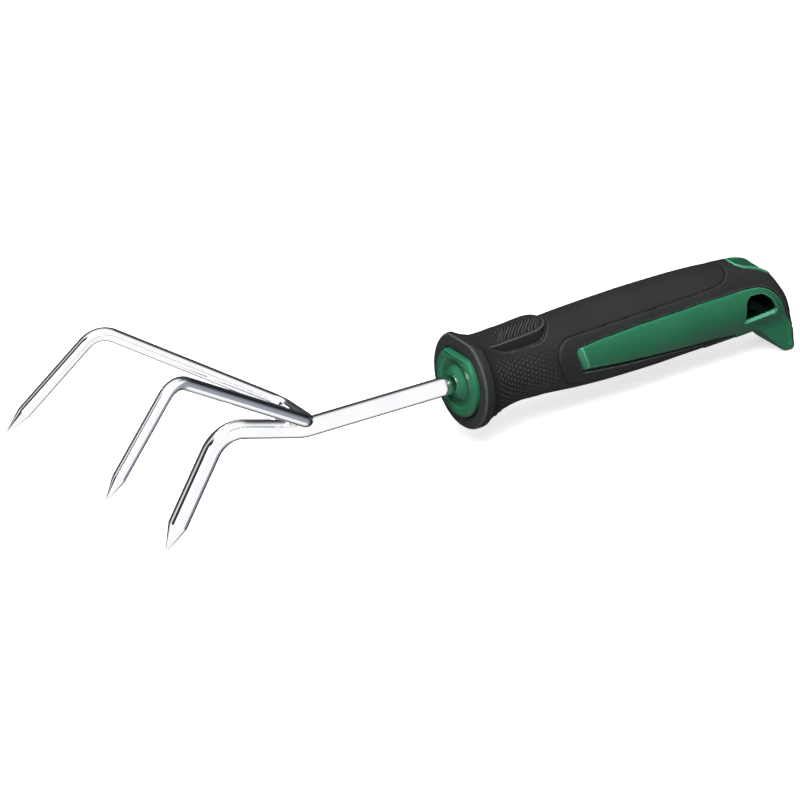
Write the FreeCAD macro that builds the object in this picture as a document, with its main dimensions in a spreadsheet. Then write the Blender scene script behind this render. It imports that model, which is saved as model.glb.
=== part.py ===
import FreeCAD, Part
import Sketcher
import os
import math

# Hand cultivator.  Drawn in the tool's own frame: +X runs along the shank from
# the tines to the end of the handle, Y is across, +Z is up, and the origin is
# where the shank enters the handle.  Every piece is then set down with the same
# placement, so that the centre point and the hook's tip both meet Z = 0.

os.makedirs("parts", exist_ok=True)
doc = FreeCAD.newDocument("hand_cultivator")
V = FreeCAD.Vector

# ---------------------------------------------------------------- dimensions
sheet = doc.addObject("Spreadsheet::Sheet", "dims")
CELLS = [
    # rods
    ("shank_dia", 8.0), ("side_dia", 5.5),
    ("tang_length", 92.0), ("tang_flat_start", 68.0), ("tang_flat_length", 14.0), ("tang_flat_width", 5.6),
    ("neck_length", 70.3), ("rise_angle", 15.1), ("centre_run", 38.8),
    ("neck_bend", 25.0), ("centre_bend", 14.0), ("centre_drop", 58.4),
    ("centre_leg", 53.1), ("centre_point", 11.0), ("point_tip_dia", 0.7),
    ("cross_x", -73.3), ("cross_z", 7.79), ("cross_half", 11.4), ("cross_bend", 6.5),
    ("knee_x", -144.2), ("knee_y", 29.6), ("knee_z", 52.6), ("knee_bend", 9.8),
    ("side_tip_x", -182.3), ("side_tip_y", 39.1), ("side_tip_z", 15.2), ("side_point", 10.0),
    ("weld_radius", 2.3), ("weld_length", 8.4),
    # collar and cap
    ("collar_front", 3.6), ("collar_back", 7.9), ("collar_radius", 20.4), ("collar_rise", 0.2),
    ("collar_flat", 18.7), ("collar_edge", 0.9),
    ("cap_front", 1.2), ("cap_back", 10.0), ("cap_radius", 14.9), ("cap_flat", 12.5),
    ("boss_radius", 7.0), ("ring_inner", 9.6), ("cap_recess", 1.5), ("cap_gap", 0.3), ("bore_gap", 0.03),
    # handle
    ("saddle_x", 15.4), ("saddle_z", 15.4), ("saddle_radius", 15.0),
    ("rest_start", 12.0), ("rest_end", 43.6), ("rest_half", 8.0), ("rest_top", 18.4), ("rest_crown", 21.0),
    ("step_x", 131.0), ("skin", 2.6), ("panel_depth", 9.5), ("end_half", 11.4), ("end_taper", 2.0), ("end_edge", 3.8),
    ("hole_left", 135.2), ("hole_right", 151.2), ("hole_top", 6.2), ("hole_bottom", -3.9),
    ("window_x", 143.0), ("window_length", 21.0), ("window_half", 6.6),
    # how the tool is set down
    ("rest_tilt", 2.03), ("rest_height", 30.505), ("rest_shift", 9.303),
]
for row, (alias, value) in enumerate(CELLS, start=1):
    sheet.set("A%d" % row, alias)
    sheet.set("B%d" % row, str(value))
    sheet.setAlias("B%d" % row, alias)
doc.recompute()


def g(alias):
    return float(sheet.get(alias))


def bind(obj, pairs):
    for prop, expr in pairs:
        obj.setExpression(prop, expr)


def plane(body, role):
    return [f for f in body.Origin.OriginFeatures if f.Role == role][0]


def sketch_on(body, role, name, offset=None):
    sk = body.newObject("Sketcher::SketchObject", name)
    sk.AttachmentSupport = [(plane(body, role), "")]
    sk.MapMode = "FlatFace"
    if offset is not None:
        sk.AttachmentOffset = offset
    return sk


def closed_polygon(sk, points, exprs):
    """A closed outline whose corner i is held at (exprs[i][0], exprs[i][1])."""
    n = len(points)
    for i in range(n):
        a, b = points[i], points[(i + 1) % n]
        sk.addGeometry(Part.LineSegment(V(a[0], a[1], 0), V(b[0], b[1], 0)), False)
    for i in range(n):
        sk.addConstraint(Sketcher.Constraint("Coincident", i, 2, (i + 1) % n, 1))
    for i in range(n):
        cx = sk.addConstraint(Sketcher.Constraint("DistanceX", -1, 1, i, 1, points[i][0]))
        if exprs[i][0]:
            sk.setExpression("Constraints[%d]" % cx, exprs[i][0])
        cz = sk.addConstraint(Sketcher.Constraint("DistanceY", -1, 1, i, 1, points[i][1]))
        if exprs[i][1]:
            sk.setExpression("Constraints[%d]" % cz, exprs[i][1])


def set_down(obj):
    """The rest placement shared by every piece."""
    obj.Placement = FreeCAD.Placement(V(g("rest_shift"), 0, g("rest_height")), FreeCAD.Rotation(V(0, 1, 0), g("rest_tilt")))
    obj.setExpression("Placement.Base.x", "dims.rest_shift")
    obj.setExpression("Placement.Base.z", "dims.rest_height")
    obj.setExpression("Placement.Rotation.Angle", "dims.rest_tilt")


def box(name, lx, ly, lz, x, y, z, exprs=()):
    b = doc.addObject("Part::Box", name)
    b.Length, b.Width, b.Height = lx, ly, lz
    b.Placement = FreeCAD.Placement(V(x, y, z), FreeCAD.Rotation())
    bind(b, exprs)
    return b


def cylinder_x(name, r, length, x, exprs=()):
    c = doc.addObject("Part::Cylinder", name)
    c.Radius, c.Height = r, length
    c.Placement = FreeCAD.Placement(V(x, 0, 0), FreeCAD.Rotation(V(0, 1, 0), 90))
    bind(c, exprs)
    return c


def pair(kind, name, base, tool):
    o = doc.addObject(kind, name)
    o.Base, o.Tool = base, tool
    return o


def fuse(name, shapes):
    o = doc.addObject("Part::MultiFuse", name)
    o.Shapes = shapes
    return o


# ------------------------------------------------------------------ main rod
rod = doc.addObject("PartDesign::Body", "main_rod")
rod.Label = "main_rod"

rise, drop = math.radians(g("rise_angle")), math.radians(g("centre_drop"))
t1 = g("neck_bend") * math.tan(rise / 2)
t2 = g("centre_bend") * math.tan((rise + drop) / 2)
run_a = g("tang_length") + g("neck_length") - t1
run_b = g("centre_run") - t1 - t2
run_c = g("centre_leg") - t2 - g("centre_point")
p0 = V(g("tang_length"), 0, 0)
p1 = V(-g("neck_length") + t1, 0, 0)
c1 = V(p1.x, g("neck_bend"), 0)
p2 = V(c1.x - g("neck_bend") * math.sin(rise), c1.y - g("neck_bend") * math.cos(rise), 0)
p3 = V(p2.x - run_b * math.cos(rise), p2.y + run_b * math.sin(rise), 0)
c2 = V(p3.x - g("centre_bend") * math.sin(rise), p3.y - g("centre_bend") * math.cos(rise), 0)
p4 = V(c2.x - g("centre_bend") * math.sin(drop), c2.y + g("centre_bend") * math.cos(drop), 0)
p5 = V(p4.x - run_c * math.cos(drop), p4.y - run_c * math.sin(drop), 0)

path = sketch_on(rod, "XZ_Plane", "rod_path")
path.addGeometry(Part.LineSegment(p0, p1), False)
# both bends run counter-clockwise, so the neck's arc starts at its tine end
path.addGeometry(Part.ArcOfCircle(Part.Circle(c1, V(0, 0, 1), g("neck_bend")), 1.5 * math.pi - rise, 1.5 * math.pi), False)
path.addGeometry(Part.LineSegment(p2, p3), False)
path.addGeometry(Part.ArcOfCircle(Part.Circle(c2, V(0, 0, 1), g("centre_bend")), 0.5 * math.pi - rise, 0.5 * math.pi + drop), False)
path.addGeometry(Part.LineSegment(p4, p5), False)
for i, a, j, b in ((0, 2, 1, 2), (1, 1, 2, 1), (2, 2, 3, 1), (3, 2, 4, 1)):
    path.addConstraint(Sketcher.Constraint("Tangent", i, a, j, b))
path.addConstraint(Sketcher.Constraint("Horizontal", 0))
path.addConstraint(Sketcher.Constraint("PointOnObject", 0, 1, -1))
for cons, expr in (
        (Sketcher.Constraint("DistanceX", -1, 1, 0, 1, g("tang_length")), "dims.tang_length"),
        (Sketcher.Constraint("Distance", 0, run_a), "dims.tang_length + dims.neck_length - dims.neck_bend * tan(dims.rise_angle / 2)"),
        (Sketcher.Constraint("Radius", 1, g("neck_bend")), "dims.neck_bend"),
        (Sketcher.Constraint("Distance", 2, run_b), "dims.centre_run - dims.neck_bend * tan(dims.rise_angle / 2) - dims.centre_bend * tan((dims.rise_angle + dims.centre_drop) / 2)"),
        (Sketcher.Constraint("Radius", 3, g("centre_bend")), "dims.centre_bend"),
        (Sketcher.Constraint("Distance", 4, run_c), "dims.centre_leg - dims.centre_bend * tan((dims.rise_angle + dims.centre_drop) / 2) - dims.centre_point")):
    k = path.addConstraint(cons)
    path.setExpression("Constraints[%d]" % k, expr)
# the two bends, as the height each straight run climbs or falls
k = path.addConstraint(Sketcher.Constraint("DistanceY", 2, 1, 2, 2, run_b * math.sin(rise)))
path.setExpression("Constraints[%d]" % k, "(dims.centre_run - dims.neck_bend * tan(dims.rise_angle / 2) - dims.centre_bend * tan((dims.rise_angle + dims.centre_drop) / 2)) * sin(dims.rise_angle)")
k = path.addConstraint(Sketcher.Constraint("DistanceY", 4, 2, 4, 1, run_c * math.sin(drop)))
path.setExpression("Constraints[%d]" % k, "(dims.centre_leg - dims.centre_bend * tan((dims.rise_angle + dims.centre_drop) / 2) - dims.centre_point) * sin(dims.centre_drop)")

section = sketch_on(rod, "YZ_Plane", "rod_section", FreeCAD.Placement(V(0, 0, g("tang_length")), FreeCAD.Rotation()))
section.setExpression("AttachmentOffset.Base.z", "dims.tang_length")
section.addGeometry(Part.Circle(V(0, 0, 0), V(0, 0, 1), g("shank_dia") / 2), False)
section.addConstraint(Sketcher.Constraint("Coincident", 0, 3, -1, 1))
k = section.addConstraint(Sketcher.Constraint("Radius", 0, g("shank_dia") / 2))
section.setExpression("Constraints[%d]" % k, "dims.shank_dia / 2")
doc.recompute()

bar = rod.newObject("PartDesign::AdditivePipe", "rod_bar")
bar.Profile = section
bar.Spine = (path, ["Edge%d" % (i + 1) for i in range(5)])
doc.recompute()

# ground point of the centre tine
point = rod.newObject("PartDesign::AdditiveCone", "centre_point")
point.AttachmentSupport = [(plane(rod, "XY_Plane"), "")]
point.MapMode = "FlatFace"
point.AttachmentOffset = FreeCAD.Placement(V(p5.x, 0, p5.y), FreeCAD.Rotation(V(0, 1, 0), -(90 + g("centre_drop"))))
bind(point, (
    ("Radius1", "dims.shank_dia / 2"), ("Radius2", "dims.point_tip_dia / 2"), ("Height", "dims.centre_point"),
    ("AttachmentOffset.Base.x", "-dims.neck_length - dims.centre_run * cos(dims.rise_angle) - (dims.centre_leg - dims.centre_point) * cos(dims.centre_drop)"),
    ("AttachmentOffset.Base.z", "dims.centre_run * sin(dims.rise_angle) - (dims.centre_leg - dims.centre_point) * sin(dims.centre_drop)"),
    ("AttachmentOffset.Rotation.Angle", "-(90 + dims.centre_drop)")))
doc.recompute()

# two pressed flats on the tang keep it from turning in the moulding
volume_before = rod.Shape.Volume
flats = sketch_on(rod, "XY_Plane", "tang_flats")
for side in (1, -1):
    base_geo = flats.GeometryCount
    x0, x1 = g("tang_flat_start"), g("tang_flat_start") + g("tang_flat_length")
    y0, y1 = side * g("tang_flat_width") / 2, side * 6.0
    pts = [(x0, y0), (x1, y0), (x1, y1), (x0, y1)]
    for i in range(4):
        a, b = pts[i], pts[(i + 1) % 4]
        flats.addGeometry(Part.LineSegment(V(a[0], a[1], 0), V(b[0], b[1], 0)), False)
    for i in range(4):
        flats.addConstraint(Sketcher.Constraint("Coincident", base_geo + i, 2, base_geo + (i + 1) % 4, 1))
    flats.addConstraint(Sketcher.Constraint("Horizontal", base_geo))
    flats.addConstraint(Sketcher.Constraint("Horizontal", base_geo + 2))
    flats.addConstraint(Sketcher.Constraint("Vertical", base_geo + 1))
    flats.addConstraint(Sketcher.Constraint("Vertical", base_geo + 3))
    for cons, expr in (
            (Sketcher.Constraint("DistanceX", -1, 1, base_geo, 1, x0), "dims.tang_flat_start"),
            (Sketcher.Constraint("DistanceX", base_geo, 1, base_geo, 2, x1 - x0), "dims.tang_flat_length"),
            (Sketcher.Constraint("DistanceY", -1, 1, base_geo, 1, y0), "%s dims.tang_flat_width / 2" % ("" if side > 0 else "-")),
            (Sketcher.Constraint("DistanceY", -1, 1, base_geo + 2, 1, y1), "%s dims.shank_dia * 0.75" % ("" if side > 0 else "-"))):
        k = flats.addConstraint(cons)
        flats.setExpression("Constraints[%d]" % k, expr)
doc.recompute()
press = rod.newObject("PartDesign::Pocket", "pressed_flats")
press.Profile = flats
press.Midplane = True
press.Length = 12
press.setExpression("Length", "dims.shank_dia * 1.5")
doc.recompute()
if not rod.Shape.Volume < volume_before - 20:
    raise RuntimeError("the tang's flats cut nothing")

# ------------------------------------------------------------ side tine rod
# A bar bent in space: its centre line is straight runs joined by tangent arcs.


def bent_wire(points, radii):
    edges, here = [], points[0]
    for i in range(1, len(points) - 1):
        a, b, c = points[i - 1], points[i], points[i + 1]
        u, w = (a - b).normalize(), (c - b).normalize()
        half_turn = (math.pi - u.getAngle(w)) / 2
        back = radii[i - 1] * math.tan(half_turn)
        s, e = b + u * back, b + w * back
        centre_dir = (u + w).normalize()
        m = b + centre_dir * (radii[i - 1] / math.cos(half_turn) - radii[i - 1])
        edges.append(Part.LineSegment(here, s).toShape())
        edges.append(Part.Arc(s, m, e).toShape())
        here = e
    edges.append(Part.LineSegment(here, points[-1]).toShape())
    return Part.Wire(edges)


tip_f = V(g("side_tip_x"), g("side_tip_y"), g("side_tip_z"))
tip_n = V(g("side_tip_x"), -g("side_tip_y"), g("side_tip_z"))
knee_f = V(g("knee_x"), g("knee_y"), g("knee_z"))
knee_n = V(g("knee_x"), -g("knee_y"), g("knee_z"))
base_f = V(g("cross_x"), g("cross_half"), g("cross_z"))
base_n = V(g("cross_x"), -g("cross_half"), g("cross_z"))
dir_f = (tip_f - knee_f).normalize()
dir_n = (tip_n - knee_n).normalize()
start = tip_f - dir_f * g("side_point")
stop = tip_n - dir_n * g("side_point")
line = bent_wire([start, knee_f, base_f, base_n, knee_n, stop],
                 [g("knee_bend"), g("cross_bend"), g("cross_bend"), g("knee_bend")])
ring = Part.Wire([Part.makeCircle(g("side_dia") / 2, start, dir_f)])
tube = line.makePipeShell([ring], True, False)
cone_f = Part.makeCone(g("side_dia") / 2, g("point_tip_dia") / 2, g("side_point"), start, dir_f)
cone_n = Part.makeCone(g("side_dia") / 2, g("point_tip_dia") / 2, g("side_point"), stop, dir_n)
side = doc.addObject("Part::Feature", "side_tine_rod")
side.Label = "side_tine_rod"
side.Shape = tube.fuse([cone_f, cone_n]).removeSplitter()
set_down(side)
print("side rod volume ratio %.4f" % (tube.Volume / (line.Length * math.pi * (g("side_dia") / 2) ** 2)))

# --------------------------------------------------------------- weld beads
# both rods as they lie before being set down, to shape the weld metal round them
side_local = side.Shape.copy()
side_local.Placement = FreeCAD.Placement()
rods_copy = doc.addObject("Part::Feature", "crossing_rods")
rods_copy.Shape = rod.Shape.fuse(side_local)
for node, dx, dz in (("weld_bead_front", -3.0, -2.0), ("weld_bead_rear", 2.7, -3.2)):
    bead = doc.addObject("Part::Ellipsoid", node + "_blob")
    bead.Radius1, bead.Radius2, bead.Radius3 = g("weld_radius"), g("weld_radius"), g("weld_length") / 2
    bead.Placement = FreeCAD.Placement(V(g("cross_x") + dx, 0, g("cross_z") + dz), FreeCAD.Rotation())
    bind(bead, (("Radius1", "dims.weld_radius"), ("Radius2", "dims.weld_radius"), ("Radius3", "dims.weld_length / 2"),
                ("Placement.Base.x", "dims.cross_x + (%s)" % dx), ("Placement.Base.z", "dims.cross_z + (%s)" % dz)))
    weld = pair("Part::Cut", node, bead, rods_copy)
    weld.Label = node
    set_down(weld)
doc.recompute()

# ---------------------------------------------------------------- front cap
cap = doc.addObject("PartDesign::Body", "front_cap")
cap.Label = "front_cap"
half_cap = sketch_on(cap, "XZ_Plane", "cap_half_section")
rb, ri, ro = g("boss_radius"), g("ring_inner"), g("cap_radius")
xf, xb, rc = g("cap_front"), g("cap_back"), g("cap_recess")
bore_r = g("shank_dia") / 2 + g("bore_gap")
closed_polygon(half_cap,
               [(xf - 0.6, bore_r), (xf - 0.6, rb - 1.2), (xf + 0.3, rb), (xf + rc, rb + 0.4), (xf + rc, ri - 0.4),
                (xf, ri + 0.6), (xf, ro - 1.1), (xf + 1.1, ro), (xb, ro), (xb, bore_r)],
               [("dims.cap_front - 0.6", "dims.shank_dia / 2 + dims.bore_gap"), ("dims.cap_front - 0.6", "dims.boss_radius - 1.2"),
                ("dims.cap_front + 0.3", "dims.boss_radius"), ("dims.cap_front + dims.cap_recess", "dims.boss_radius + 0.4"),
                ("dims.cap_front + dims.cap_recess", "dims.ring_inner - 0.4"), ("dims.cap_front", "dims.ring_inner + 0.6"),
                ("dims.cap_front", "dims.cap_radius - 1.1"), ("dims.cap_front + 1.1", "dims.cap_radius"),
                ("dims.cap_back", "dims.cap_radius"), ("dims.cap_back", "dims.shank_dia / 2 + dims.bore_gap")])
doc.recompute()
turned = cap.newObject("PartDesign::Revolution", "cap_turned")
turned.Profile = half_cap
turned.ReferenceAxis = (half_cap, ["H_Axis"])
turned.Angle = 360
doc.recompute()
cap_volume = cap.Shape.Volume
flat = sketch_on(cap, "XZ_Plane", "cap_flat_cut")
closed_polygon(flat, [(-1.0, g("cap_flat")), (g("cap_back") + 1, g("cap_flat")), (g("cap_back") + 1, 20.0), (-1.0, 20.0)],
               [("", "dims.cap_flat"), ("dims.cap_back + 1", "dims.cap_flat"), ("dims.cap_back + 1", ""), ("", "")])
doc.recompute()
d_cut = cap.newObject("PartDesign::Pocket", "cap_flat_pocket")
d_cut.Profile = flat
d_cut.Midplane = True
d_cut.Length = 40
doc.recompute()
if not cap.Shape.Volume < cap_volume - 50:
    raise RuntimeError("the cap's flat cuts nothing")
set_down(cap)
set_down(rod)

# ----------------------------------------------------------- handle envelope
# Upright ellipses along the shank axis: x, half width, height above, depth below.
STATIONS = [
    (7.9, 20.15, 20.5, 20.1), (13.2, 17.45, 17.75, 17.6), (18.0, 15.75, 16.5, 15.9), (23.0, 14.75, 16.1, 14.95),
    (28.5, 14.3, 16.15, 14.4), (35.0, 14.3, 16.7, 14.65), (44.0, 14.8, 17.4, 15.2), (56.0, 15.5, 18.1, 16.1),
    (72.0, 16.1, 18.85, 16.6), (90.0, 16.4, 19.4, 16.5), (108.0, 16.3, 19.5, 15.8), (122.0, 15.9, 19.1, 15.4),
    (131.0, 15.4, 18.5, 15.2),
]


# the same section carried on to the back of the hook, trimmed later to the side view
BACK = [(139.0, 14.7, 18.0, 15.1), (147.0, 13.5, 16.6, 15.0), (154.0, 12.2, 14.2, 14.8), (160.0, 10.9, 11.4, 14.6)]


def ellipse_loft(name, shrink, stations):
    rings = []
    for i, (x, hw, up, dn) in enumerate(stations):
        e = doc.addObject("Part::Ellipse", "%s_ring_%02d" % (name, i))
        e.MajorRadius = (up + dn) / 2 - (g("skin") if shrink else 0)
        e.MinorRadius = hw - (g("skin") if shrink else 0)
        if shrink:
            bind(e, (("MajorRadius", "%s - dims.skin" % ((up + dn) / 2)), ("MinorRadius", "%s - dims.skin" % hw)))
        # the ellipse's plane faces +X, with its long axis upright
        m = FreeCAD.Matrix(0, 0, 1, x, 0, -1, 0, 0, 1, 0, 0, (up - dn) / 2, 0, 0, 0, 1)
        e.Placement = FreeCAD.Placement(m)
        rings.append(e)
    loft = doc.addObject("Part::Loft", name)
    loft.Sections = rings
    loft.Solid, loft.Ruled, loft.Closed = True, False, False
    return loft


outer = ellipse_loft("grip_outer", False, STATIONS + BACK)
inner_long = ellipse_loft("core_spine_long", True, STATIONS)
# the spine starts behind the cap
core_front = box("core_front_tool", 60, 60, 60, g("cap_back") - 60, -30, -30, (("Placement.Base.x", "dims.cap_back - 60"),))
spine_back = pair("Part::Cut", "core_spine_back", inner_long, core_front)
# under the hook's step the panels carry the core, and the spine keeps above their lower edge
heel = box("core_heel_tool", 12, 60, 20, 125.5, -30, -29)
inner = pair("Part::Cut", "core_spine", spine_back, heel)

collar = doc.addObject("Part::Cylinder", "collar_disc")
collar.Radius, collar.Height = g("collar_radius"), g("collar_back") - g("collar_front")
collar.Placement = FreeCAD.Placement(V(g("collar_front"), 0, g("collar_rise")), FreeCAD.Rotation(V(0, 1, 0), 90))
bind(collar, (("Radius", "dims.collar_radius"), ("Height", "dims.collar_back - dims.collar_front"),
              ("Placement.Base.x", "dims.collar_front"), ("Placement.Base.z", "dims.collar_rise")))
doc.recompute()
front_edge = [i + 1 for i, e in enumerate(collar.Shape.Edges)
              if e.Closed and abs(e.CenterOfMass.x - g("collar_front")) < 1e-6][0]
collar_edge = doc.addObject("Part::Chamfer", "collar_chamfer")
collar_edge.Base = collar
collar_edge.Edges = [(front_edge, g("collar_edge"), g("collar_edge"))]

# ------------------------------------------------ rear end with its hook
END = [("end_a", 116.0, 20.2), ("end_b", 136.0, 18.3), ("end_c", 147.4, 15.2), ("end_d", 156.4, 1.6), ("end_e", 162.5, -13.0),
       ("end_f", 162.8, -24.9), ("end_g", 155.4, -24.9), ("end_h", 143.6, -11.4), ("end_i", 116.0, -12.2)]
ROUND = {1: 22.0, 2: 13.0, 3: 16.0, 4: 12.0, 5: 4.6, 6: 4.4, 7: 8.0}


def end_block(name, inset, half, edge):
    """The handle's end as a plate cut to its side view, its corners rounded."""
    body = doc.addObject("PartDesign::Body", name)
    sk = sketch_on(body, "XZ_Plane", name + "_outline")
    pts = [(x, z) for _, x, z in END]
    if edge:
        # the hook's plate keeps inside the rounded top and shows only at the back
        pts[0:4] = [(116.0, 14.2), (136.0, 13.0), (146.6, 9.8), (155.2, -0.9)]
    if inset:
        k = g("skin")
        pts = [(127.0, 18.5 - k), (135.4, 18.2 - k), (145.8, 12.9), (154.1, 0.4), (158.5, -10.0),
               (156.6, -13.6), (150.0, -8.0), (127.0, -8.0)]
    closed_polygon(sk, pts, [("", "")] * len(pts))
    doc.recompute()
    pad = body.newObject("PartDesign::Pad", name + "_plate")
    pad.Profile = sk
    pad.Midplane = True
    pad.Length = 2 * half
    if edge or inset:
        pad.setExpression("Length", "2 * (dims.end_half%s)" % (" - dims.skin" if inset else ""))
    doc.recompute()

    last = pad
    rounding = ROUND if not inset else {1: 19.0, 2: 10.0, 3: 12.0}
    groups = {}
    for i, r in rounding.items():
        groups.setdefault(r, []).append(pts[i])
    for r, corners in groups.items():
        fil = body.newObject("PartDesign::Fillet", "%s_round_%d" % (name, int(r * 10)))
        names = []
        for corner in corners:
            for j, e in enumerate(last.Shape.Edges):
                if e.BoundBox.XLength < 1e-6 and e.BoundBox.ZLength < 1e-6 and e.BoundBox.YLength > 1 \
                        and abs(e.CenterOfMass.x - corner[0]) < 1e-4 and abs(e.CenterOfMass.z - corner[1]) < 1e-4:
                    names.append("Edge%d" % (j + 1))
        fil.Base = (last, names)
        fil.Radius = r
        doc.recompute()
        last = fil
    if edge:
        names = []
        for j, e in enumerate(last.Shape.Edges):
            if e.BoundBox.YLength < 1e-6 and abs(abs(e.CenterOfMass.y) - half) < 1e-6 and e.CenterOfMass.x > 117:
                names.append("Edge%d" % (j + 1))
        fil = body.newObject("PartDesign::Fillet", name + "_edge")
        fil.Base = (last, names)
        fil.Radius = edge
        fil.setExpression("Radius", "dims.end_edge")
        doc.recompute()
    return body


block = end_block("end_outer", False, g("end_half"), g("end_edge"))
block_in = end_block("end_inner", True, g("end_half") - g("skin"), 0)
# both sides draw in towards the back
wedges = []
for s in (1, -1):
    w = doc.addObject("Part::Box", "end_taper_%s" % ("far" if s > 0 else "near"))
    w.Length, w.Width, w.Height = 60, 20, 60
    w.Placement = FreeCAD.Placement(V(132, s * g("end_half") if s > 0 else -g("end_half"), -32), FreeCAD.Rotation(V(0, 0, 1), -s * g("end_taper")))
    if s < 0:
        # the far face of a box starts at its corner, so the near one is set back by its width
        w.Placement = FreeCAD.Placement(V(132, -g("end_half"), -32), FreeCAD.Rotation(V(0, 0, 1), g("end_taper"))).multiply(
            FreeCAD.Placement(V(0, -20, 0), FreeCAD.Rotation()))
    wedges.append(w)
tapers = fuse("end_tapers", wedges)
end_cut = pair("Part::Cut", "end_tapered", block, tapers)
end_in_cut = pair("Part::Cut", "end_inner_tapered", block_in, tapers)

# ------------------------------------------------------- thumb rest on top
rest = doc.addObject("Part::Cylinder", "thumb_rest_round")
rest.Radius, rest.Height = g("rest_half"), 12
rest.Placement.Base = V(g("rest_end") - g("rest_half"), 0, 8)
bind(rest, (("Radius", "dims.rest_half"), ("Placement.Base.x", "dims.rest_end - dims.rest_half")))
bar_x = g("rest_end") - g("rest_half") - g("rest_start")
rest_bar = box("thumb_rest_bar", bar_x, 2 * g("rest_half"), 12, g("rest_start"), -g("rest_half"), 8,
               (("Length", "dims.rest_end - dims.rest_half - dims.rest_start"), ("Width", "2 * dims.rest_half"),
                ("Placement.Base.x", "dims.rest_start"), ("Placement.Base.y", "-dims.rest_half")))
rest_plan = fuse("thumb_rest_plan", [rest, rest_bar])
crown = cylinder_x("thumb_rest_crown", g("rest_crown"), 60, 0, (("Radius", "dims.rest_crown"),))
crown.Placement.Base = V(0, 0, g("rest_top") - g("rest_crown"))
crown.setExpression("Placement.Base.z", "dims.rest_top - dims.rest_crown")
thumb = pair("Part::Common", "thumb_rest", rest_plan, crown)

saddle = doc.addObject("Part::Cylinder", "saddle_tool")
saddle.Radius, saddle.Height = g("saddle_radius"), 60
saddle.Placement = FreeCAD.Placement(V(g("saddle_x"), 30, g("saddle_z") + g("saddle_radius")), FreeCAD.Rotation(V(1, 0, 0), 90))
bind(saddle, (("Radius", "dims.saddle_radius"), ("Placement.Base.x", "dims.saddle_x"), ("Placement.Base.z", "dims.saddle_z + dims.saddle_radius")))
flat_tool = box("collar_flat_tool", 40, 60, 20, -20, -30, g("collar_flat"), (("Placement.Base.z", "dims.collar_flat"),))

side_view = end_block("end_side_view", False, 20.0, 0)
front_zone = box("front_zone", 200, 60, 70, g("step_x") - 200, -30, -35, (("Placement.Base.x", "dims.step_x - 200"),))
back_zone = box("back_zone", 60, 60, 70, g("step_x"), -30, -35, (("Placement.Base.x", "dims.step_x"),))
back_view = pair("Part::Common", "back_side_view", side_view, back_zone)
grip_front = pair("Part::Common", "grip_front", outer, front_zone)
grip_back = pair("Part::Common", "grip_back", outer, back_view)
envelope_raw = fuse("envelope_raw", [grip_front, collar_edge, end_cut, grip_back])
envelope_flat = pair("Part::Cut", "envelope_flat", envelope_raw, flat_tool)
envelope_saddle = pair("Part::Cut", "envelope_saddle", envelope_flat, saddle)
envelope = fuse("envelope", [envelope_saddle, thumb])
doc.recompute()

# -------------------------------------------------------------- green core
# side panel, seen from the side; it runs into the handle's end
panel_body = doc.addObject("PartDesign::Body", "panel_prism")
panel_sk = sketch_on(panel_body, "XZ_Plane", "panel_outline")
PANEL = [(50.6, 6.3), (62.0, 7.8), (82.0, 9.2), (112.0, 10.2), (134.0, 10.1), (142.5, 9.2), (148.6, 6.2), (153.2, 0.8),
         (156.4, -5.8), (159.2, -12.0), (162.0, -16.2), (170.0, -16.4), (170.0, -30.0), (131.0, -30.0), (131.0, -10.15), (122.0, -9.3),
         (101.0, -8.0), (72.0, -6.2), (54.0, -4.5)]
closed_polygon(panel_sk, PANEL, [("", "")] * len(PANEL))
doc.recompute()
panel_pad = panel_body.newObject("PartDesign::Pad", "panel_through")
panel_pad.Profile = panel_sk
panel_pad.Midplane = True
panel_pad.Length = 60
doc.recompute()
panel_full = pair("Part::Common", "panel_full", panel_body, envelope)
# the panels are shells on the spine, so the middle of that prism is the spine's
window_tool = doc.addObject("Part::Ellipsoid", "window_tool")
window_tool.Radius1, window_tool.Radius2, window_tool.Radius3 = 9.0, g("window_length") / 2, g("window_half")
window_tool.Placement = FreeCAD.Placement(V(g("window_x"), 0, 15.4), FreeCAD.Rotation(V(0, 1, 0), 22))
bind(window_tool, (("Radius2", "dims.window_length / 2"), ("Radius3", "dims.window_half"), ("Placement.Base.x", "dims.window_x")))
window_fill = pair("Part::Common", "window_fill", envelope, window_tool)
core_solid = fuse("core_solid", [inner, end_in_cut, panel_full, window_fill])
doc.recompute()

hole_body = doc.addObject("PartDesign::Body", "hang_hole_tool")
hole_sk = sketch_on(hole_body, "XZ_Plane", "hang_hole_outline")
hl, hr, ht, hb = g("hole_left"), g("hole_right"), g("hole_top"), g("hole_bottom")
closed_polygon(hole_sk, [(hl, hb), (hr, hb + 0.4), (hr, hb + 1.6), (hr - 3.4, ht - 3.2), (hr - 8.6, ht), (hl + 0.8, ht), (hl, ht - 0.8)],
               [("dims.hole_left", "dims.hole_bottom"), ("dims.hole_right", "dims.hole_bottom + 0.4"), ("dims.hole_right", "dims.hole_bottom + 1.6"),
                ("dims.hole_right - 3.4", "dims.hole_top - 3.2"), ("dims.hole_right - 8.6", "dims.hole_top"),
                ("dims.hole_left + 0.8", "dims.hole_top"), ("dims.hole_left", "dims.hole_top - 0.8")])
doc.recompute()
hole_pad = hole_body.newObject("PartDesign::Pad", "hang_hole_through")
hole_pad.Profile = hole_sk
hole_pad.Midplane = True
hole_pad.Length = 60
doc.recompute()

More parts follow.
